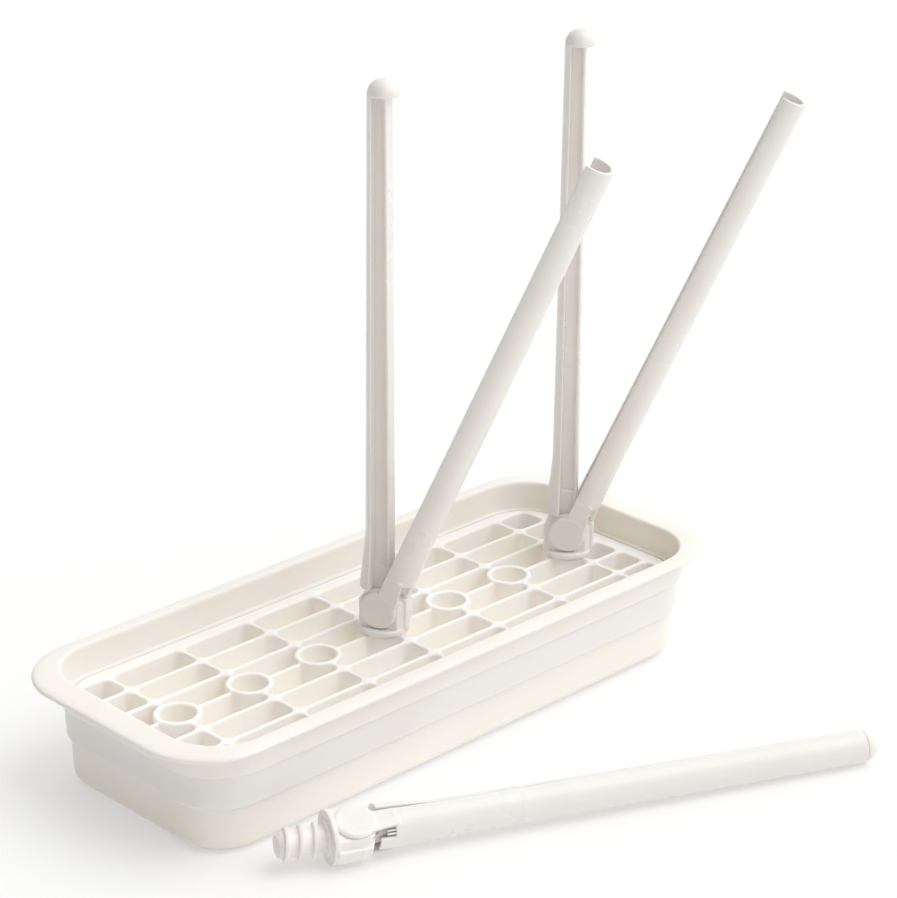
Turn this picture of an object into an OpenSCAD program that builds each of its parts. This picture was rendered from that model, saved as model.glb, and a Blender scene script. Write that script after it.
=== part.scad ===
// Bottle drying rack: a rimmed drip tray, a drain grid with seven sockets, and three
// double pegs. Each peg has a threaded base, a fixed inner arm and a hinged outer arm
// that opens to a V or folds shut over the inner arm.
// The origin is on the table, under the middle of the tray. X runs along the tray.

/* [Tray] */
// Length over the rim
tray_l = 360; // [300:1:432]
// Width over the rim
tray_w = 145; // [121:1:174]
// Height from the table to the top of the rim
tray_h = 59; // [52:1:71]
// Corner radius of the rim's outer edge
rim_r = 36; // [30:1:43]
// Overhang of the rim beyond the wall at each end
rim_end = 13.2; // [11:0.2:15.8]
// Overhang of the rim beyond the wall along each side
rim_side = 6; // [5:0.2:7.2]
// Thickness of the rim plate
rim_t = 2.2; // [1.8:0.1:3]
// Drop of the lip round the rim's edge, below the rim plate
lip_drop = 0.8; // [0.4:0.1:1.5]
// Corner radius of the wall, just under the rim
wall_r = 30; // [27:1:33]
// Rounding of the rim's inner edge
rim_round = 3.4; // [2:0.2:3.6]
// Thickness of the wall and the floor
wall = 2.4; // [2:0.1:2.9]
// Height of the wall's upper band, from the top of the rim
band_hi = 16.5; // [13:0.5:19]
// Height of the wall's middle band
band_mid = 17.5; // [14.5:0.5:21]
// How far the wall steps in under each band
step_in = 2.2; // [1.8:0.1:2.6]
// How far each band narrows on its way down
band_draft = 0.4; // [0.3:0.1:0.8]
// Fillet where the wall meets the floor, outside
foot_fillet = 5; // [4:0.5:6]
// Height of the corner feet
foot_h = 1.5; // [1:0.1:2]
// Straight length of a corner foot beyond the corner's arc
foot_run = 14; // [8:1:17]

/* [Drain grid] */
// Distance from one socket to the next
socket_pitch = 44; // [37:0.5:52]
// Depth of the grid's ribs and border
grid_depth = 17.8; // [14.8:0.2:21.4]
// Width of the border at each end
border_end = 8.2; // [6.8:0.2:9.8]
// Width of the border along each side
border_side = 6.4; // [5.4:0.2:7.6]
// Thickness of a rib
rib = 2.2; // [1.8:0.1:2.6]
// Fillet in a cell's corners
cell_fillet = 4; // [2:0.5:5]
// Gap between the grid and the tray, all round
grid_gap = 0.7; // [0.4:0.1:1]
// Radius of a socket's bore
socket_r = 9; // [8:0.5:10]
// Wall of a socket
socket_wall = 2.6; // [2.2:0.1:3.1]
// Height of a socket's lip above the grid
socket_lip = 1; // [0.6:0.1:1.5]

/* [Pegs] */
// Length of an arm, from the hinge to the end of the dome
arm_l = 268.5; // [224:0.5:322]
// Radius of the outer arm at its tip
tube_tip_r = 8.5; // [8.1:0.1:9]
// Radius of the outer arm above its foot
tube_low_r = 9.2; // [8.8:0.1:9.5]
// Radius of the outer arm at its foot
tube_foot_r = 10; // [9.8:0.1:10.4]
// Wall of the outer arm
tube_wall = 1.8; // [1.4:0.1:2]
// Radius of the inner arm's round back at its tip
back_tip_r = 7.85; // [7.4:0.05:8]
// Radius of the inner arm's round back above its flare
back_foot_r = 9; // [8.4:0.1:9.3]
// Half width of the inner arm's front flange
front_half = 4.4; // [3.6:0.1:4.6]
// Height of the hinge above the top of a socket
hinge_rise = 12.5; // [12:0.5:14]
// How far the inner arm leans the same way as the outer one
set_back = 0.5; // [0:0.1:1]
// Radius of the peg's barrel
barrel_r = 12.5; // [12:0.1:12.9]
// Radius of the flange under the barrel
flange_r = 13; // [12.5:0.5:14]
// Thickness of the flange
flange_t = 2.5; // [2:0.1:2.6]
// Length of the plug below the flange
plug_l = 24; // [20:0.5:27]
// Radius of the plug's core
plug_r = 6.3; // [5.5:0.1:7]
// Gap between the plug's threads and the socket
plug_gap = 0.3; // [0.2:0.05:0.5]
// Radius of the hinge pin
pin_r = 2; // [1.7:0.1:2.3]
// Bevel round the outer arm's hinge discs
disc_edge = 1; // [0.6:0.1:1.2]
// Running gap round the pin in the outer arm
pin_gap = 0.05; // [0.03:0.01:0.09]
// Gap between faces that slide past each other
side_gap = 0.12; // [0.1:0.01:0.2]
// How far the outer arm leans when it is open
lean = 24; // [20:1:29]
// How far the centre peg is turned in its socket, from the tray's long side
centre_turn = -63.5; // [-90:0.5:-40]
// How far the end peg is turned in its socket, from the tray's long side
end_turn = -52; // [-90:0.5:-40]

/* [Loose peg] */
// Distance of the loose peg's hinge in front of the rim
loose_gap = 25.7; // [24:0.1:36]
// Place of the loose peg's hinge along the tray
loose_x = -111; // [-120:1:-60]
// Angle of the loose peg from the tray's long side
loose_turn = -23.6; // [-35:0.1:-20]
// How far the loose peg is rolled on the table
loose_roll = -66; // [-75:1:-30]

/* [Hidden] */
$fn = 96;
eps = 0.01;
shell_white = [0.96, 0.94, 0.90];
peg_white = [0.94, 0.92, 0.89];

// Wall: distances of the outer face from the corner arc's centre, and their heights.
floor_z = foot_h;
step_hi = tray_h - band_hi;
step_lo = step_hi - band_mid;
band_r1 = wall_r - band_draft;
band_r2 = band_r1 - step_in;
band_r3 = band_r2 - band_draft;
band_r4 = band_r3 - step_in;
band_r5 = band_r4 - band_draft;
step_slope = 1.2;
inner_fillet = foot_fillet - wall;
wall_x = tray_l / 2 - rim_end - wall_r;
wall_y = tray_w / 2 - rim_side - wall_r;
rim_x = tray_l / 2 - rim_r;
rim_y = tray_w / 2 - rim_r;
ledge_lo = step_lo + wall - step_slope;

// Grid: it stands on the lower ledge and fills the tray's middle band.
grid_r = band_r3 - wall - grid_gap;
grid_x = wall_x + grid_r;
grid_y = wall_y + grid_r;
grid_z = ledge_lo;
grid_top = grid_z + grid_depth;
field_x = grid_x - border_end;
last_socket = floor((field_x - socket_r - socket_wall - 2) / socket_pitch);
rows = 6;
row_pitch = 2 * (grid_y - border_side) / rows;
socket_top = grid_top + socket_lip;
hinge_z = socket_top + hinge_rise;

// Peg: u is the way the outer arm leans, v is the hinge axis, w is up the peg.
slot_u = -3.6;
flange_top = flange_t - hinge_rise;
yoke_drop = 3.2;
yoke_r = -flange_top + yoke_drop;
cheek_in = 8;
cheek_out = tube_foot_r + 0.1;
cheek_r = -flange_top - 0.25;
yoke_half = cheek_in - side_gap;
tongue_half = 2.9;
tongue_r = 7;
tab_w = yoke_r - yoke_drop + 0.6;
foot_w = tab_w + 7.4;
low_w = foot_w + 30;
dome_r = back_tip_r + 0.05;
dome_w = arm_l - dome_r;
tube_end = dome_w - 0.4;
flare_w = 40;
flare_r = barrel_r - 0.5;
back_u = slot_u - 0.4;
front_tip_u = 3;
front_foot_u = 4.6;
front_t = 1.5;
web_half = 1.1;
thread_r = socket_r - plug_gap;
thread_step = 6.8;
thread_tilt = 11;
nose_u = barrel_r + 0.9;
nose_half = 4;
pin_half = cheek_out - 0.9;
loose_dip = atan((flange_r - tube_tip_r) / (tube_end - flange_top));
loose_lift = 0.05;
loose_z = flange_r * cos(loose_dip) + flange_top * sin(loose_dip) + loose_lift;

// Points of an arc, for rounding a profile.
function arc(cx, cy, r, a0, a1, n = 6) =
    [for (i = [0:n]) [cx + r * cos(a0 + (a1 - a0) * i / n), cy + r * sin(a0 + (a1 - a0) * i / n)]];

// A rounded rectangle given by its corner arcs' centres and radius.
module rounded(x, y, r) {
    square([2 * x, 2 * (y + r)], center = true);
    square([2 * (x + r), 2 * y], center = true);
    for (sx = [-1, 1], sy = [-1, 1]) translate([sx * x, sy * y]) circle(r);
}

// Sweeps a profile, drawn as (distance, height), round a rounded rectangle.
module sweep(x, y) {
    for (s = [0, 180]) rotate([0, 0, s]) {
        translate([x, y, 0]) rotate([90, 0, 0]) linear_extrude(2 * y) children();
        translate([-x, y, 0]) rotate([90, 0, 90]) linear_extrude(2 * x) children();
        translate([x, y, 0]) rotate_extrude(angle = 90) children();
        translate([-x, y, 0]) rotate([0, 0, 90]) rotate_extrude(angle = 90) children();
    }
}

// Keeps the same profile on the corners and on a short run each side of them.
module sweep_corners(x, y, run) {
    for (sx = [-1, 1], sy = [-1, 1]) mirror([sx < 0 ? 1 : 0, 0, 0]) mirror([0, sy < 0 ? 1 : 0, 0]) {
        translate([x, y, 0]) rotate([90, 0, 0]) linear_extrude(run) children();
        translate([x - run, y, 0]) rotate([90, 0, 90]) linear_extrude(run) children();
        translate([x, y, 0]) rotate_extrude(angle = 90) children();
    }
}

module wall_profile() {
    polygon(concat(
        [[band_r5 - foot_fillet - 3, floor_z]],
        arc(band_r5 - foot_fillet, floor_z + foot_fillet, foot_fillet, -90, 0),
        [[band_r4, step_lo - step_slope], [band_r3 - 0.5, step_lo - 0.35], [band_r3, step_lo]],
        [[band_r2, step_hi - step_slope], [band_r1 - 0.5, step_hi - 0.35], [band_r1, step_hi]],
        [[wall_r, tray_h - rim_t], [wall_r + 2, tray_h - rim_t], [wall_r + 2, tray_h]],
        arc(wall_r - wall + rim_round, tray_h - rim_round, rim_round, 90, 180),
        [[band_r1 - wall, step_hi + wall - step_slope], [band_r2 - wall, step_hi + wall - step_slope]],
        [[band_r3 - wall, ledge_lo], [band_r4 - wall, ledge_lo]],
        arc(band_r5 - wall - inner_fillet, floor_z + wall + inner_fillet, inner_fillet, 0, -90),
        [[band_r5 - foot_fillet - 3, floor_z + wall]]
    ));
}

module lip_profile() {
    half = (rim_t + lip_drop) / 2;
    polygon(concat(
        [[rim_r - 2.6, tray_h], [rim_r - 2.6, tray_h - rim_t], [rim_r - 1.9, tray_h - rim_t - lip_drop]],
        arc(rim_r - half / 2, tray_h - rim_t - lip_drop + half / 2, half / 2, -90, 0),
        arc(rim_r - half, tray_h - half, half, 0, 90)
    ));
}

module foot_profile() {
    polygon([[band_r5 - foot_fillet - 6, 0], [band_r5 - foot_fillet, 0],
             [band_r5 - foot_fillet + 1.8, floor_z + 0.4], [band_r5 - foot_fillet - 6, floor_z + 0.4]]);
}

module tray() color(shell_white) {
    sweep(wall_x, wall_y) wall_profile();
    translate([0, 0, floor_z]) linear_extrude(wall) rounded(wall_x, wall_y, band_r5 - foot_fillet - 1);
    translate([0, 0, tray_h - rim_t]) linear_extrude(rim_t) difference() {
        rounded(rim_x, rim_y, rim_r - 2);
        rounded(wall_x, wall_y, wall_r + 0.5);
    }
    sweep(rim_x, rim_y) lip_profile();
    sweep_corners(wall_x, wall_y, foot_run) foot_profile();
    cylinder(r = 12, h = floor_z + 0.4);
}

// One cell's opening, from its low corner to its high corner.
module cell(x0, x1, y0, y1) {
    w = x1 - x0 - rib;
    h = y1 - y0 - rib;
    translate([(x0 + x1) / 2, (y0 + y1) / 2])
        rounded(w / 2 - cell_fillet, h / 2 - cell_fillet, cell_fillet);
}

module drain_grid() color(shell_white) {
    edges = concat([-field_x - rib / 2], [for (i = [-last_socket:last_socket]) i * socket_pitch],
                   [field_x + rib / 2]);
    difference() {
        union() {
            translate([0, 0, grid_z]) linear_extrude(grid_depth) difference() {
                rounded(wall_x, wall_y, grid_r);
                for (c = [0:len(edges) - 2], r = [0:rows - 1])
                    cell(edges[c], edges[c + 1], (r - rows / 2) * row_pitch, (r + 1 - rows / 2) * row_pitch);
            }
            for (i = [-last_socket:last_socket]) translate([i * socket_pitch, 0, grid_z])
                cylinder(r = socket_r + socket_wall, h = grid_depth + socket_lip);
        }
        for (i = [-last_socket:last_socket]) translate([i * socket_pitch, 0, grid_z - 1])
            cylinder(r = socket_r, h = grid_depth + socket_lip + 2);
    }
}

// The plug's slanting thread ridges, cut from tilted discs.
module thread(level) {
    intersection() {
        translate([0, 0, level]) rotate([0, thread_tilt, 0]) cylinder(r = 2 * thread_r, h = 1.9, center = true);
        translate([0, 0, level - 4]) cylinder(r1 = thread_r - 1.2, r2 = thread_r, h = 8);
    }
}

module peg_base() color(peg_white) {
    difference() {
        union() {
            translate([0, 0, -hinge_rise - plug_l + 2]) cylinder(r = plug_r, h = plug_l);
            translate([0, 0, -hinge_rise - plug_l]) cylinder(r1 = plug_r - 1.1, r2 = plug_r, h = 2 + eps);
            translate([0, 0, -hinge_rise - 1.6]) cylinder(r = thread_r, h = 2);
            for (i = [1:3]) thread(-hinge_rise - 0.5 - i * thread_step + 1.2);
            translate([0, 0, -hinge_rise]) cylinder(r = flange_r, h = flange_t);
            intersection() {
                translate([0, 0, flange_top - 1]) cylinder(r = barrel_r, h = yoke_r + 1 - flange_top);
                translate([-20, -yoke_half, flange_top - 1]) cube([40, 2 * yoke_half, 40]);
                union() {
                    translate([0, 0, -yoke_drop]) rotate([90, 0, 0]) cylinder(r = yoke_r, h = 40, center = true);
                    translate([-20, -20, flange_top - 1]) cube([40, 40, 1 - flange_top - yoke_drop]);
                }
            }
            stop_nose();
        }
        translate([-tongue_r - 0.2, -tongue_half - side_gap, -tongue_r - 0.3])
            cube([2 * tongue_r + 0.4, 2 * (tongue_half + side_gap), 40]);
        rotate([90, 0, 0]) cylinder(r = pin_r, h = 40, center = true);
    }
}

// The shoulder that the open outer arm's tab comes to rest on.
module stop_nose() {
    intersection() {
        translate([barrel_r - 5, -nose_half, flange_top - 1]) cube([nose_u - barrel_r + 5, 2 * nose_half, 30]);
        rotate([0, lean, 0]) translate([-30, -30, -60 + tab_w - 0.15]) cube([60, 60, 60]);
    }
}

module peg_inner_arm() color(peg_white) {
    difference() {
        union() {
            intersection() {
                union() {
                    translate([0, 0, tab_w]) cylinder(r1 = flare_r, r2 = back_foot_r, h = flare_w - tab_w);
                    translate([0, 0, flare_w - eps])
                        cylinder(r1 = back_foot_r, r2 = back_tip_r, h = dome_w - flare_w + eps);
                }
                translate([-30, -30, 0]) cube([30 + back_u, 60, arm_l]);
            }
            rotate([90, 0, 0]) linear_extrude(2 * web_half, center = true)
                polygon([[back_u - 1, tab_w], [front_foot_u - 0.5, tab_w], [front_tip_u - 0.5, dome_w + 0.5],
                         [back_u - 1, dome_w + 0.5]]);
            rotate([90, 0, 0]) linear_extrude(2 * front_half, center = true)
                polygon([[front_foot_u - front_t, tab_w], [front_foot_u, tab_w], [front_tip_u, dome_w + 0.5],
                         [front_tip_u - front_t, dome_w + 0.5]]);
            rotate([90, 0, 0]) linear_extrude(2 * tongue_half, center = true) {
                circle(tongue_r);
                polygon([[-tongue_r, 0], [tongue_r, 0], [front_foot_u - 0.3, tab_w + 12], [back_u - 1, tab_w + 12]]);
            }
            translate([0, 0, dome_w]) intersection() {
                sphere(dome_r);
                translate([-20, -20, 0]) cube(40);
            }
        }
        rotate([90, 0, 0]) cylinder(r = pin_r, h = 40, center = true);
    }
}

module peg_outer_arm() color(peg_white) {
    difference() {
        intersection() {
            union() {
                translate([0, 0, foot_w]) cylinder(r1 = tube_foot_r, r2 = tube_low_r, h = low_w - foot_w);
                translate([0, 0, low_w - eps]) cylinder(r1 = tube_low_r, r2 = tube_tip_r, h = tube_end - low_w);
            }
            translate([slot_u, -30, 0]) cube([60, 60, arm_l]);
        }
        translate([0, 0, foot_w - 1])
            cylinder(r1 = tube_foot_r - tube_wall, r2 = tube_low_r - tube_wall, h = low_w - foot_w + 1 + eps);
        translate([0, 0, low_w - eps])
            cylinder(r1 = tube_low_r - tube_wall, r2 = tube_tip_r - tube_wall, h = tube_end - low_w + 1);
    }
    intersection() {
        difference() {
            translate([0, 0, tab_w]) cylinder(r = tube_foot_r, h = foot_w - tab_w + 1);
            translate([0, 0, tab_w - 1]) cylinder(r = tube_foot_r - tube_wall, h = foot_w - tab_w + 3);
        }
        translate([0, -nose_half + 0.4, 0]) cube([30, 2 * nose_half - 0.8, 60]);
    }
    for (side = [-1, 1]) difference() {
        union() {
            translate([0, side * cheek_in, 0]) rotate([-90 * side, 0, 0])
                cylinder(r = cheek_r, h = cheek_out - cheek_in - disc_edge);
            translate([0, side * (cheek_out - disc_edge - eps), 0]) rotate([-90 * side, 0, 0])
                cylinder(r1 = cheek_r, r2 = cheek_r - disc_edge, h = disc_edge + eps);
            translate([0, side * (cheek_in + cheek_out - 0.4) / 2, 0]) rotate([90, 0, 0])
                linear_extrude(cheek_out - cheek_in - 0.4, center = true)
                    polygon([[slot_u, 0], [slot_u, foot_w + 2], [5.6, foot_w + 2], [cheek_r - 1.2, 0]]);
        }
        rotate([90, 0, 0]) cylinder(r = pin_r + pin_gap, h = 2 * pin_half + 0.4, center = true);
    }
}

module peg_hinge_pin() color([0.93, 0.92, 0.90])
    rotate([90, 0, 0]) cylinder(r = pin_r, h = 2 * pin_half, center = true);

// Stands a peg's piece in a socket, or lays it on the table.
module in_socket(number, turn) translate([number * socket_pitch, 0, hinge_z]) rotate([0, 0, turn]) children();
module centre_place() in_socket(0, centre_turn) children();
module end_place() in_socket(last_socket, end_turn) children();
module on_table() translate([loose_x, -tray_w / 2 - loose_gap, loose_z])
    rotate([0, 0, loose_turn]) rotate([0, 90 + loose_dip, 0])
    rotate([0, 0, loose_roll]) rotate([0, -set_back, 0]) children();
module folded() rotate([0, set_back, 0]) children();
module open() rotate([0, lean, 0]) children();

tray();
drain_grid();
centre_place() peg_base();  // centre_peg_base
centre_place() folded() peg_inner_arm();  // centre_peg_inner_arm
centre_place() open() peg_outer_arm();  // centre_peg_outer_arm
centre_place() peg_hinge_pin();  // centre_peg_hinge_pin
end_place() peg_base();  // end_peg_base
end_place() folded() peg_inner_arm();  // end_peg_inner_arm
end_place() open() peg_outer_arm();  // end_peg_outer_arm
end_place() peg_hinge_pin();  // end_peg_hinge_pin
on_table() peg_base();  // loose_peg_base
on_table() folded() peg_inner_arm();  // loose_peg_inner_arm
on_table() folded() peg_outer_arm();  // loose_peg_outer_arm
on_table() peg_hinge_pin();  // loose_peg_hinge_pin
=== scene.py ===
# %% [markdown]
# # A bottle drying rack
# A rimmed drip tray holds a lift-out grid. Pegs plug into the grid's sockets. Each peg has
# a fixed inner arm and a hinged outer arm, a channel that opens to a V or folds shut.
# Everything is moulded from one kind of plastic, so the look depends on form, soft edges
# and the way light sinks a little into the surface. First comes the frame: the packed
# solids that every piece of the look is hung on.

# %% The frame and its box
import bpy
import bmesh
import math
from mathutils import Matrix, Vector


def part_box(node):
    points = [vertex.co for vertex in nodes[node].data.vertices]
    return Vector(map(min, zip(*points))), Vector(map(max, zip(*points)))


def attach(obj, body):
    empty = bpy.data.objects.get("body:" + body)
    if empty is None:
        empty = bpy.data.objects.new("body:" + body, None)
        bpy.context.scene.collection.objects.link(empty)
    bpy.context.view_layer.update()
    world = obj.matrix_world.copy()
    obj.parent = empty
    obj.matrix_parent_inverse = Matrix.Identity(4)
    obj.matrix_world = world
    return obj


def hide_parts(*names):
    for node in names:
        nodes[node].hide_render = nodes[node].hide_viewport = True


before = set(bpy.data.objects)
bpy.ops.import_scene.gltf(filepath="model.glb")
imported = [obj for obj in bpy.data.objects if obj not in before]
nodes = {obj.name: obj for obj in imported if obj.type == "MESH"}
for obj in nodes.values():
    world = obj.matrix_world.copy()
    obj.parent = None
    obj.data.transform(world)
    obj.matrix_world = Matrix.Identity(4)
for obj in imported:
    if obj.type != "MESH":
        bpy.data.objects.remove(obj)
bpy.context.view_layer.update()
MM = 0.001

# %% [markdown]
# ## The camera
# A long lens from well back keeps the tray's sides nearly parallel. The camera is placed
# by the point it looks at, how far it stands from it, and two angles, and then turned a
# touch about its own axis.

# %% Camera
LOOK_AT = Vector((84.5, 41.3, 103.8)) * MM
FAR = 1479.3 * MM
AZIMUTH, ELEVATION, ROLL = map(math.radians, (-43.99, 22.61, 0.02))
LENS = 114.19

back = Vector((math.sin(AZIMUTH) * math.cos(ELEVATION), -math.cos(AZIMUTH) * math.cos(ELEVATION),
               math.sin(ELEVATION)))
camera = bpy.data.objects.new("camera", bpy.data.cameras.new("camera"))
bpy.context.scene.collection.objects.link(camera)
camera.data.lens = LENS
camera.data.sensor_width = 36
camera.data.clip_start = 0.01
camera.data.clip_end = 50
camera.rotation_mode = "QUATERNION"
own_turn = Matrix.Rotation(-ROLL, 3, "Z").to_quaternion()
camera.rotation_quaternion = (-back).to_track_quat("-Z", "Y") @ own_turn
camera.location = LOOK_AT + FAR * back
bpy.context.scene.camera = camera
print("camera at", tuple(round(c, 3) for c in camera.location))

# %% [markdown]
# ## Helpers for nodes
# Worlds, materials and Geometry Nodes are all trees of nodes. One function adds a node
# with its settings, its input values and its links, so a tree reads as a short list.
# Colours are written as sRGB hex and turned to linear, which is what nodes work in.

# %% A node and a colour
def add(tree, kind, values=(), links=(), **settings):
    "Adds a node with its settings, its input values and its links."
    node = tree.nodes.new(kind)
    for name, value in settings.items():
        setattr(node, name, value)
    for name, value in dict(values).items():
        node.inputs[name].default_value = value
    for name, source in dict(links).items():
        tree.links.new(source, node.inputs[name])
    return node

def srgb(code):
    "Turns an sRGB hex colour into the linear one that nodes use."
    parts = [int(code[i:i + 2], 16) / 255 for i in (0, 2, 4)]
    return [c / 12.92 if c <= 0.04045 else ((c + 0.055) / 1.055) ** 2.4 for c in parts] + [1.0]

print("white in linear:", [round(c, 3) for c in srgb("FAF8F2")[:3]])

# %% [markdown]
# ## The studio
# White goods on a white floor need shape from light. The sky is a soft box all round: it
# is brightest overhead and to the right, and dim to the left, so the tray's short end
# falls into gentle shade. A broad sun gives the soft shadows where things stand on the
# table, and a weaker one from the left lifts the pegs' shaded sides.

# %% Sky
SKY_TOWARDS = (0.66, -0.04, 0.62)     # how fast the sky brightens along each axis
SKY_LEVEL = 0.38
SKY_LEAST, SKY_MOST = 0.02, 1.05

world = bpy.data.worlds.new("studio")
bpy.context.scene.world = world
bpy.context.scene.view_settings.view_transform = "Standard"
world.use_nodes = True
sky = world.node_tree
direction = add(sky, "ShaderNodeTexCoord").outputs["Generated"]
slope = add(sky, "ShaderNodeVectorMath", {1: SKY_TOWARDS}, {0: direction}, operation="DOT_PRODUCT")
level = add(sky, "ShaderNodeMath", {1: SKY_LEVEL}, {0: slope.outputs["Value"]},
            operation="ADD")
lit = add(sky, "ShaderNodeMath", {1: SKY_LEAST}, {0: level.outputs[0]}, operation="MAXIMUM")
even = add(sky, "ShaderNodeMath", {1: SKY_MOST}, {0: lit.outputs[0]}, operation="MINIMUM")
sky.links.new(even.outputs[0], sky.nodes["Background"].inputs["Strength"])
sky.nodes["Background"].inputs["Color"].default_value = (1.0, 0.995, 0.985, 1)
print("sky overhead:", round(SKY_LEVEL + SKY_TOWARDS[2], 2))

# %% Key and fill
def sun(name, towards, strength, softness):
    lamp = bpy.data.lights.new(name, "SUN")
    lamp.energy = strength
    lamp.angle = math.radians(softness)
    obj = bpy.data.objects.new(name, lamp)
    obj.rotation_mode = "QUATERNION"
    obj.rotation_quaternion = Vector(towards).to_track_quat("Z", "Y")
    bpy.context.scene.collection.objects.link(obj)
    print(name, "light:", strength)

sun("key", (0.30, -0.42, 0.86), 1.0, 50)
sun("fill", (-0.60, -0.70, 0.39), 0.22, 60)

# %% [markdown]
# Real polypropylene passes light from wall to wall, and the basin under the grid glows
# with it. Paths that long are costly to follow, so a weak panel under the grid, facing
# down at the basin's floor, stands for that light. It shows nothing of itself.

# %% Glow in the basin
glow_lamp = bpy.data.lights.new("basin glow", "AREA")
glow_lamp.shape = "RECTANGLE"
glow_lamp.size, glow_lamp.size_y = 0.30, 0.10
glow_lamp.energy = 0.055
glow_lamp.color = (1.0, 0.97, 0.94)
glow = bpy.data.objects.new("basin glow", glow_lamp)
glow.location = (0, 0, 0.0245)
bpy.context.scene.collection.objects.link(glow)
print("glow:", glow_lamp.energy, "W")

# %% [markdown]
# ## Materials
# The rack is polypropylene, injection moulded, with a satin skin. Light enters it,
# scatters for up to three millimetres and comes out warmer, so some subsurface light is
# set. The grid's colour is paler than the tray's: painted light for the bright basin. The pegs are the
# coolest and glossiest.
# The mould's fine spark-eroded grain is a bump, drawn at 0.8 to 0.9 mm so that it shows.
# Slow changes in gloss and tint, a few centimetres across, stand for flow in the mould
# and for handling.

# %% Moulded plastic
PATCHES = 28          # slow patches to the metre, about 35 mm each

def moulded(name, colour, warm, rough, grain_mm, grain_depth, inside, stretch=(1, 1, 1)):
    "Satin moulded plastic. warm is the tint of its slow variation."
    mat = bpy.data.materials.new(name)
    mat.use_nodes = True
    tree = mat.node_tree
    tree.nodes.clear()
    where = add(tree, "ShaderNodeTexCoord").outputs["Object"]
    flow = add(tree, "ShaderNodeMapping", {"Scale": stretch}, {"Vector": where}).outputs[0]
    slow = add(tree, "ShaderNodeTexNoise", {"Scale": PATCHES, "Detail": 3, "Roughness": 0.55},
               {"Vector": flow})
    amount = add(tree, "ShaderNodeMapRange", {"From Min": 0.35, "From Max": 0.75},
                 {"Value": slow.outputs[0]})
    tint = add(tree, "ShaderNodeMix", {6: srgb(colour), 7: srgb(warm)}, {0: amount.outputs[0]},
               data_type="RGBA")
    skin = add(tree, "ShaderNodeTexNoise", {"Scale": 1 / (grain_mm * MM), "Detail": 2},
               {"Vector": where})
    gloss = add(tree, "ShaderNodeMapRange",
                {"From Min": 0.3, "From Max": 0.7, "To Min": rough - 0.05, "To Max": rough + 0.06},
                {"Value": slow.outputs[0]})
    grain = add(tree, "ShaderNodeBump", {"Strength": 0.35, "Distance": grain_depth * MM},
                {"Height": skin.outputs[0]})
    body = add(tree, "ShaderNodeBsdfPrincipled",
               {"IOR": 1.49, "Subsurface Weight": inside, "Subsurface Radius": (1.0, 0.75, 0.5),
                "Subsurface Scale": 0.003},
               {"Base Color": tint.outputs[2], "Roughness": gloss.outputs[0], "Normal": grain.outputs[0]})
    add(tree, "ShaderNodeOutputMaterial", (), {"Surface": body.outputs[0]})
    print("material:", name)
    return mat

# %% The four finishes
tray_pp = moulded("polypropylene, injection moulded, warm white satin", "F4F1ED", "F3EEE7",
                  rough=0.38, grain_mm=0.9, grain_depth=0.03, inside=0.5)
# The grid's paler base colour is painted light: it stands for the light that fills the basin under it.
grid_pp_painted_light = moulded("polypropylene, injection moulded, cream white satin", "FEFAF6", "FCF7EF",
                  rough=0.42, grain_mm=0.9, grain_depth=0.03, inside=0.5)
arm_pp = moulded("polypropylene, injection moulded, cool white satin", "F5F1ED", "F1ECE7",
                 rough=0.30, grain_mm=0.8, grain_depth=0.02, inside=0.2)
pin_pom = moulded("acetal rod, extruded, natural white", "EDEBE6", "E8E5DE",
                  rough=0.24, grain_mm=0.5, grain_depth=0.01, inside=0.1)

# %% [markdown]
# ## From a list of points to a piece
# Each finished piece is one mesh at the origin, with its doubles merged and its faces
# outwards. The second helper makes the object, gives it its material, shades it smooth,
# hangs it on the body it rides on and hides the solids it stands for.

# %% A clean mesh
def outward(mesh, turn_faces=True):
    "Merges doubles, and turns every face outwards unless they already point the right way."
    work = bmesh.new()
    work.from_mesh(mesh)
    bmesh.ops.remove_doubles(work, verts=work.verts, dist=2e-6)
    if turn_faces:
        bmesh.ops.recalc_face_normals(work, faces=work.faces)
    work.to_mesh(mesh)
    work.free()
    return mesh

# %% Piece
def piece(name, mesh, material, body, slot, *stands_for):
    mesh.materials.clear()
    mesh.materials.append(material)
    mesh.shade_smooth()
    obj = bpy.data.objects.new(name, mesh)
    bpy.context.scene.collection.objects.link(obj)
    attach(obj, body)
    if stands_for:
        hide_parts(*stands_for)
    print(name, "has", sum(len(p.vertices) - 2 for p in mesh.polygons), "triangles")
    return obj

# %% [markdown]
# ## The drip tray
# The tray is one skin, as it comes from the mould: a flat floor, three bands that step
# outwards, a wide, slightly crowned rim with a rolled lip, and the inside face. Every level of it is a
# rounded rectangle, so the whole skin is a stack of rounded rectangles joined up. The
# section is written once as corner points with a rounding at each, in millimetres: how far
# the level reaches from its corners' centres, its height, how far the rim has moved those
# centres out, and the rounding. The roundings are real geometry, because they catch light.

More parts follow.
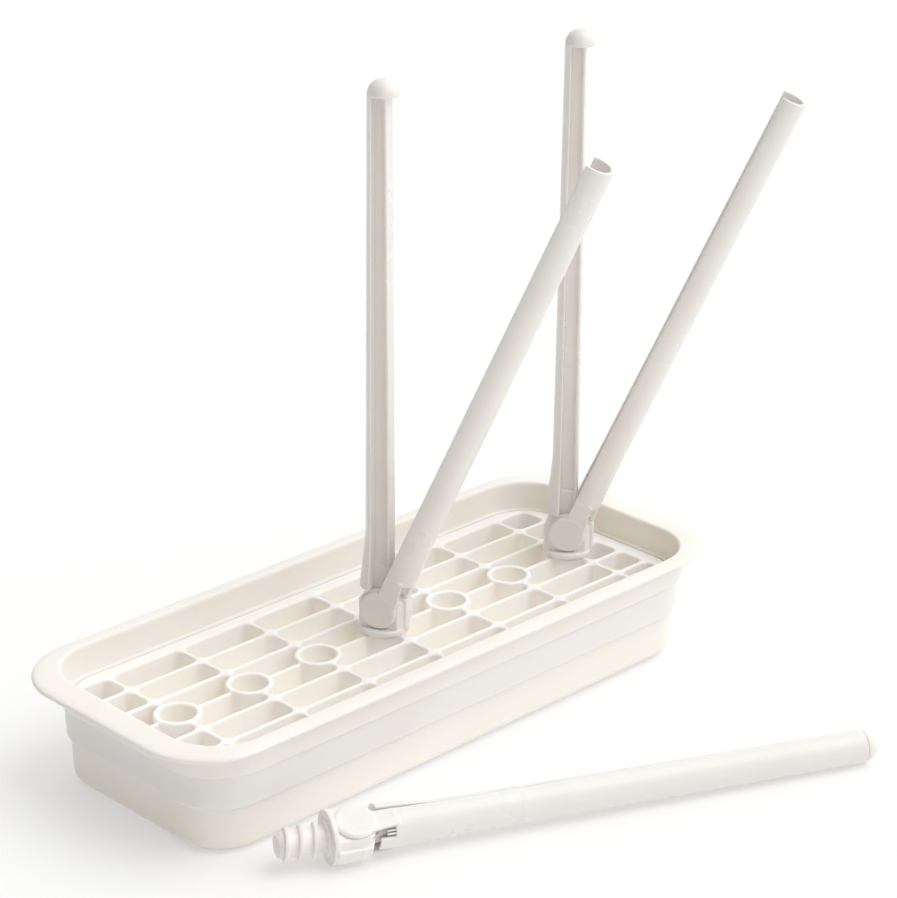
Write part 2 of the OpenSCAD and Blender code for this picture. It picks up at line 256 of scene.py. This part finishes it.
# %% Sizes of the tray
CORNER_X, CORNER_Y, RIM_SHIFT = 136.8, 36.5, 7.2
FLOOR, TOP, STEP_HIGH, STEP_LOW, LEDGE = 1.5, 59.0, 42.5, 25.0, 26.2
SECTION = [
    (8, FLOOR, 0, 0), (24.4, FLOOR, 0, 5.0), (24.8, STEP_LOW - 1.1, 0, 0.5), (27.0, STEP_LOW, 0, 0.7),
    (27.4, STEP_HIGH - 1.1, 0, 0.5), (29.6, STEP_HIGH, 0, 0.7), (30.0, TOP - 2.2, 0, 0.8),
    (33.4, TOP - 2.2, RIM_SHIFT, 0.4), (34.1, TOP - 3.0, RIM_SHIFT, 0.4), (36.0, TOP - 3.0, RIM_SHIFT, 0.8),
    (36.0, TOP - 0.9, RIM_SHIFT, 1.3), (33.2, TOP - 0.3, RIM_SHIFT, 0.9), (30.6, TOP, 0, 1.2),
    (27.6, TOP, 0, 3.0),
    (27.2, 43.7, 0, 0.6), (25.0, 43.7, 0, 0.8), (25.0, LEDGE, 0, 0.6), (22.4, LEDGE, 0, 0.8),
    (22.0, FLOOR + 2.4, 0, 2.6), (8, FLOOR + 2.4, 0, 0)]

def rounded_section(points, steps=4):
    "Replaces each corner that has a rounding by a short curve."
    out = []
    for i, (*here, radius) in enumerate(points):
        here = Vector(here)
        if not radius:
            out.append(here)
            continue
        before, after = Vector(points[i - 1][:3]), Vector(points[i + 1][:3])
        a = here + (before - here).normalized() * min(radius, 0.48 * (before - here).length)
        b = here + (after - here).normalized() * min(radius, 0.48 * (after - here).length)
        for k in range(steps + 1):
            t = k / steps
            out.append(a * (1 - t) ** 2 + here * 2 * t * (1 - t) + b * t ** 2)
    return out

levels = rounded_section(SECTION)
print("levels in the tray's skin:", len(levels))

# %% A stack of rounded rectangles
def level_points(centre_x, centre_y, radius, height, steps=14):
    "The points of one rounded rectangle, anticlockwise."
    out = []
    for quarter, (sx, sy) in enumerate(((1, 1), (-1, 1), (-1, -1), (1, -1))):
        for k in range(steps + 1):
            turn = math.radians(90 * (quarter + k / steps))
            x, y = radius * math.cos(turn), radius * math.sin(turn)
            out.append(Vector((sx * centre_x + x, sy * centre_y + y, height)) * MM)
    return out

def stacked(rings):
    "Joins rings into a closed skin, capped at both ends."
    mesh = bpy.data.meshes.new("skin")
    count = len(rings[0])
    faces = []
    for low in range(0, (len(rings) - 1) * count, count):
        for k in range(count):
            after = (k + 1) % count
            faces.append((low + k, low + after, low + count + after, low + count + k))
    faces += [tuple(range(count))[::-1], tuple((len(rings) - 1) * count + k for k in range(count))]
    mesh.from_pydata([p for ring in rings for p in ring], [], faces)
    return outward(mesh)

tray_skin = stacked([level_points(CORNER_X + shift, CORNER_Y, reach, height)
                     for reach, height, shift in levels])
tray = piece("tray_skin", tray_skin, tray_pp, "tray", "shell", "tray")
print("tray's highest point:", round(max(v.co.z for v in tray_skin.vertices) / MM, 2), "mm")

# %% [markdown]
# ## The tray's feet
# Under each corner a low bar follows the corner's curve, so that the tray stands level and
# water can run off under it. A bar that follows a path is a job for Geometry Nodes: the
# path's points are given, and the tree turns them to curves, sweeps a rounded bar along
# them and closes the ends. The small round pad under the middle comes from the same tree.

# %% Helpers for Geometry Nodes
def new_tree(name, **inputs):
    "A geometry tree with named inputs. Returns the tree, its input node and its output node."
    tree = bpy.data.node_groups.new(name, "GeometryNodeTree")
    tree.interface.new_socket("Geometry", in_out="INPUT", socket_type="NodeSocketGeometry")
    tree.interface.new_socket("Geometry", in_out="OUTPUT", socket_type="NodeSocketGeometry")
    for label, kind in inputs.items():
        tree.interface.new_socket(label, in_out="INPUT", socket_type="NodeSocket" + kind)
    return tree, tree.nodes.new("NodeGroupInput"), tree.nodes.new("NodeGroupOutput")

def finish_tree(tree, end, geometry, material):
    "Every tree ends the same way: real geometry, smooth, with its material."
    real = add(tree, "GeometryNodeRealizeInstances", (), {"Geometry": geometry})
    smooth = add(tree, "GeometryNodeSetShadeSmooth", (), {0: real.outputs[0]})
    done = add(tree, "GeometryNodeSetMaterial", {"Material": material}, {"Geometry": smooth.outputs[0]})
    tree.links.new(done.outputs[0], end.inputs[0])

def as_plain_mesh(obj):
    "What an object's modifiers make of it."
    return bpy.data.meshes.new_from_object(obj.evaluated_get(bpy.context.evaluated_depsgraph_get()))

def grown(mesh, tree, **values):
    "Runs a tree on a mesh and returns the result as a plain mesh."
    seed = bpy.data.objects.new("seed", mesh)
    bpy.context.scene.collection.objects.link(seed)
    nodes_modifier = seed.modifiers.new("grow", "NODES")
    nodes_modifier.node_group = tree
    for item in tree.interface.items_tree:
        if item.item_type == "SOCKET" and item.in_out == "INPUT" and item.name in values:
            nodes_modifier[item.identifier] = values[item.name]
    result = as_plain_mesh(seed)
    seed.modifiers.remove(nodes_modifier)
    bpy.data.objects.remove(seed)
    return result

# %% Tree: a rounded bar along a path
feet_tree, start, end = new_tree("feet", Width="Float", Height="Float", Rounding="Float")
paths = add(feet_tree, "GeometryNodeMeshToCurve", (), {"Mesh": start.outputs["Geometry"]})
level_paths = add(feet_tree, "GeometryNodeSetCurveNormal", (), {"Curve": paths.outputs[0]}, mode="Z_UP")
bar = add(feet_tree, "GeometryNodeCurvePrimitiveQuadrilateral", (),
          {"Width": start.outputs["Width"], "Height": start.outputs["Height"]})
soft_bar = add(feet_tree, "GeometryNodeFilletCurve", {"Count": 4}, {"Curve": bar.outputs[0],
               "Radius": start.outputs["Rounding"]}, mode="POLY")
swept = add(feet_tree, "GeometryNodeCurveToMesh", {"Fill Caps": True},
            {"Curve": level_paths.outputs[0], "Profile Curve": soft_bar.outputs[0]})
finish_tree(feet_tree, end, swept.outputs[0], tray_pp)
print("nodes in the feet tree:", len(feet_tree.nodes))

# %% The five feet
FOOT_W, FOOT_H, FOOT_ROUND, FOOT_REACH, FOOT_RUN, PAD_REACH = 7.4, 2.0, 0.6, 16.2, 14, 8.2
ARC = [math.pi / 24 * k for k in range(13)]
WHOLE = [math.pi / 16 * k for k in range(32)]
points, edges = [], []
for sx, sy in ((1, 1), (-1, 1), (-1, -1), (1, -1)):
    path = [(FOOT_REACH, -FOOT_RUN)]
    path += [(FOOT_REACH * math.cos(t), FOOT_REACH * math.sin(t)) for t in ARC]
    path += [(-FOOT_RUN, FOOT_REACH)]
    edges += [(len(points) + k, len(points) + k + 1) for k in range(len(path) - 1)]
    points += [Vector((sx * (CORNER_X + x), sy * (CORNER_Y + y), FOOT_H / 2)) * MM for x, y in path]
ring_at = len(points)
points += [Vector((PAD_REACH * math.cos(t), PAD_REACH * math.sin(t), FOOT_H / 2)) * MM for t in WHOLE]
edges += [(ring_at + k, ring_at + (k + 1) % len(WHOLE)) for k in range(len(WHOLE))]
foot_paths = bpy.data.meshes.new("foot paths")
foot_paths.from_pydata(points, edges, [])
feet_mesh = outward(grown(foot_paths, feet_tree, Width=FOOT_W * MM, Height=FOOT_H * MM,
                          Rounding=FOOT_ROUND * MM))
piece("tray_feet", feet_mesh, tray_pp, "tray", "shell")
print("feet from", round(min(v.co.z for v in feet_mesh.vertices) / MM, 2), "mm up")

# %% [markdown]
# ## Softened mouldings
# The grid and the pegs' parts have the right shapes as solids, but a solid's edges are
# knife sharp, and a moulding's never are: steel moulds have small radii and the plastic
# shrinks as it cools. A copy of each solid is merged, remeshed into fine even cells,
# relaxed a little so that every edge gets a radius of about half a millimetre, and thinned
# again. The copy is turned to lie square with the cells first, so that flat faces stay
# flat, and the three pegs share the same three mouldings, as the real ones do.

# %% Softening a solid
def softened(solid, into_place, cell_mm, rounds, keep):
    "A soft-edged copy of a solid, in its own upright frame."
    mesh = nodes[solid].data.copy()
    mesh.transform(into_place.inverted())
    copy = bpy.data.objects.new("copy", outward(mesh, turn_faces=False))
    bpy.context.scene.collection.objects.link(copy)
    cells = copy.modifiers.new("cells", "REMESH")
    cells.mode, cells.voxel_size = "VOXEL", cell_mm * MM
    relax = copy.modifiers.new("relax", "SMOOTH")
    relax.factor, relax.iterations = 0.5, rounds
    copy.modifiers.new("thin", "DECIMATE").ratio = keep
    result = as_plain_mesh(copy)
    bpy.data.objects.remove(copy)
    print(solid, "softened:", len(result.polygons), "faces")
    return result

# %% [markdown]
# ## The drain grid
# The grid is a deep lattice: six rows of cells, with a rib at every socket, a border all
# round and seven sockets down the middle. Its softened copy keeps the lattice. The sockets'
# lips are rounder than the ribs, because a peg is pushed into them, so each gets a bead: a
# row of rings made by Geometry Nodes, one ring for each socket.

# %% Grid
grid_mesh = softened("drain_grid", Matrix.Identity(4), 0.7, 2, 0.3)
piece("grid_lattice", grid_mesh, grid_pp_painted_light, "grid", "shell", "drain_grid")

# %% Tree: a row of beads
beads_tree, start, end = new_tree("socket beads", Count="Int", Pitch="Float", Radius="Float", Bead="Float",
                                  Height="Float")
last = add(beads_tree, "ShaderNodeMath", {1: 1.0}, {0: start.outputs["Count"]}, operation="SUBTRACT")
half = add(beads_tree, "ShaderNodeMath", {1: -0.5}, {0: last.outputs[0]}, operation="MULTIPLY")
first_x = add(beads_tree, "ShaderNodeMath", (), {0: half.outputs[0], 1: start.outputs["Pitch"]},
              operation="MULTIPLY")
first = add(beads_tree, "ShaderNodeCombineXYZ", (),
            {"X": first_x.outputs[0], "Z": start.outputs["Height"]})
stride = add(beads_tree, "ShaderNodeCombineXYZ", (), {"X": start.outputs["Pitch"]})
row = add(beads_tree, "GeometryNodeMeshLine", (), {"Count": start.outputs["Count"],
          "Start Location": first.outputs[0], "Offset": stride.outputs[0]})
ring = add(beads_tree, "GeometryNodeCurvePrimitiveCircle", {"Resolution": 72},
           {"Radius": start.outputs["Radius"]})
rod = add(beads_tree, "GeometryNodeCurvePrimitiveCircle", {"Resolution": 12},
          {"Radius": start.outputs["Bead"]})
bead = add(beads_tree, "GeometryNodeCurveToMesh", (),
           {"Curve": ring.outputs[0], "Profile Curve": rod.outputs[0]})
each = add(beads_tree, "GeometryNodeInstanceOnPoints", (),
           {"Points": row.outputs[0], "Instance": bead.outputs[0]})
finish_tree(beads_tree, end, each.outputs[0], grid_pp_painted_light)
print("nodes in the bead tree:", len(beads_tree.nodes))

# %% Seven socket beads
SOCKETS, PITCH, LIP_R, BEAD_R, LIP_TOP, CLEAR = 7, 44.0, 10.3, 1.28, 45.0, 0.03
beads_mesh = outward(grown(bpy.data.meshes.new("empty"), beads_tree, Count=SOCKETS,
                           Pitch=PITCH * MM, Radius=LIP_R * MM, Bead=BEAD_R * MM,
                           Height=(LIP_TOP - BEAD_R - CLEAR) * MM))
piece("socket_beads", beads_mesh, grid_pp_painted_light, "grid", "shell")

# %% [markdown]
# ## The pegs
# A peg's own frame stands on its hinge: one axis along the hinge pin, one up the peg, and
# one the way its outer arm leans. Each peg is turned in its socket, and the loose one is
# laid down and rolled until its edge rests on the table. The pins' boxes give the hinges'
# places, and the angles are the pegs' own.

# %% Frames of the three pegs
def turn(axis, degrees):
    return Matrix.Rotation(math.radians(degrees), 4, axis)

def hinge(peg):
    low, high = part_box(peg + "_hinge_pin")
    return Matrix.Translation((Vector(low) + Vector(high)) / 2)

SET_BACK, LEAN = 0.5, 24
lying_down = turn("Z", -23.6) @ turn("Y", 90.954) @ turn("Z", -66) @ turn("Y", -SET_BACK)
PEGS = {"centre": hinge("centre_peg") @ turn("Z", -63.5), "end": hinge("end_peg") @ turn("Z", -52),
        "loose": hinge("loose_peg") @ lying_down}
OPENED = {"centre": LEAN, "end": LEAN, "loose": SET_BACK}
print("hinges:", [tuple(round(c, 4) for c in m.translation) for m in PEGS.values()])

# %% Three mouldings, used three times
MOULDINGS = {"base": (0.32, 3, 0.45), "inner_arm": (0.42, 4, 0.3), "outer_arm": (0.42, 4, 0.3)}

def stand(part, peg):
    "Where a part of a peg stands: the inner arm leans a touch, the outer one as it is opened."
    return PEGS[peg] @ turn("Y", {"base": 0, "inner_arm": SET_BACK, "outer_arm": OPENED[peg]}[part])

for part, (cell_mm, rounds, keep) in MOULDINGS.items():
    moulding = softened("centre_peg_" + part, stand(part, "centre"), cell_mm, rounds, keep)
    for peg in PEGS:
        mesh = moulding.copy()
        mesh.transform(stand(part, peg))
        solid = peg + "_peg_" + part
        body = peg + ("_arm" if part == "outer_arm" else "_peg")
        piece(solid + "_moulding", mesh, arm_pp, body, "peg", solid)
        low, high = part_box(solid)
        spans = [[v.co[k] for v in mesh.vertices] for k in range(3)]
        off = max(max(abs(min(spans[k]) - low[k]), abs(max(spans[k]) - high[k])) for k in range(3))
        print("  furthest from its solid's box:", round(off / MM, 2), "mm")

# %% [markdown]
# ## The table and the last finish
# The table is a plain sheet of white paper, a hair below the feet. A little light of its
# own keeps the shadows pale. The hinge pins are plain rods whose solids are right as they
# are, so they only take a material.

# %% Floor
floor_mesh = bpy.data.meshes.new("floor")
floor_mesh.from_pydata([(-8, -8, 0), (8, -8, 0), (8, 8, 0), (-8, 8, 0)], [], [(0, 1, 2, 3)])
floor = bpy.data.objects.new("floor", floor_mesh)
bpy.context.scene.collection.objects.link(floor)
floor.location.z = -0.0002
paper = bpy.data.materials.new("paper, matt, white")
paper.use_nodes = True
sheet = paper.node_tree.nodes["Principled BSDF"].inputs
for socket, value in {"Base Color": srgb("D3D3D3"), "Roughness": 0.9, "Specular IOR Level": 0.1,
                      "Emission Color": (1, 1, 1, 1), "Emission Strength": 0.32}.items():
    sheet[socket].default_value = value
floor_mesh.materials.append(paper)

# %% [markdown]
# ## Ribs at the outer arm's foot
# Beside its stop tab the outer arm's wall is cut back, and small ribs run down into the
# cut-outs to stiffen the edge. They repeat along the wall's curve, so Geometry Nodes set
# them out: an arc on each side is given, and the tree stands a rounded rib at each of a
# number of even steps along it.

# %% Tree: ribs along an arc
ribs_tree, start, end = new_tree("foot ribs", Count="Int", Length="Float", Radius="Float")
arcs = add(ribs_tree, "GeometryNodeMeshToCurve", (), {"Mesh": start.outputs["Geometry"]})
stands = add(ribs_tree, "GeometryNodeCurveToPoints", (),
             {"Curve": arcs.outputs[0], "Count": start.outputs["Count"]}, mode="COUNT")
foot_end = add(ribs_tree, "ShaderNodeCombineXYZ", (), {"Z": start.outputs["Length"]})
stem = add(ribs_tree, "GeometryNodeCurvePrimitiveLine", (), {"End": foot_end.outputs[0]})
rib_round = add(ribs_tree, "GeometryNodeCurvePrimitiveCircle", {"Resolution": 10},
                {"Radius": start.outputs["Radius"]})
rib = add(ribs_tree, "GeometryNodeCurveToMesh", {"Fill Caps": True},
          {"Curve": stem.outputs[0], "Profile Curve": rib_round.outputs[0]})
row = add(ribs_tree, "GeometryNodeInstanceOnPoints", (),
          {"Points": stands.outputs[0], "Instance": rib.outputs[0]})
finish_tree(ribs_tree, end, row.outputs[0], arm_pp)
print("nodes in the rib tree:", len(ribs_tree.nodes))

# %% Ribs on the three outer arms
RIB_REACH, RIB_FROM, RIB_L, RIB_R, RIBS = 8.9, 13.8, 5.0, 0.5, 3
RIB_ARC = [math.radians(33 + 3.5 * k) for k in range(7)]
points, edges = [], []
for side in (-1, 1):
    edges += [(len(points) + k, len(points) + k + 1) for k in range(6)]
    points += [Vector((RIB_REACH * math.cos(side * t), RIB_REACH * math.sin(side * t), RIB_FROM)) * MM
               for t in RIB_ARC]
rib_arcs = bpy.data.meshes.new("rib arcs")
rib_arcs.from_pydata(points, edges, [])
ribs_mesh = outward(grown(rib_arcs, ribs_tree, Count=RIBS, Length=RIB_L * MM, Radius=RIB_R * MM))
for peg in PEGS:
    mesh = ribs_mesh.copy()
    mesh.transform(stand("outer_arm", peg))
    piece(peg + "_arm_ribs", mesh, arm_pp, peg + "_arm", "peg")

# %% Finish for the pins
for name, obj in nodes.items():
    if name.endswith("pin"):
        obj.data.materials.clear()
        obj.data.materials.append(pin_pom)
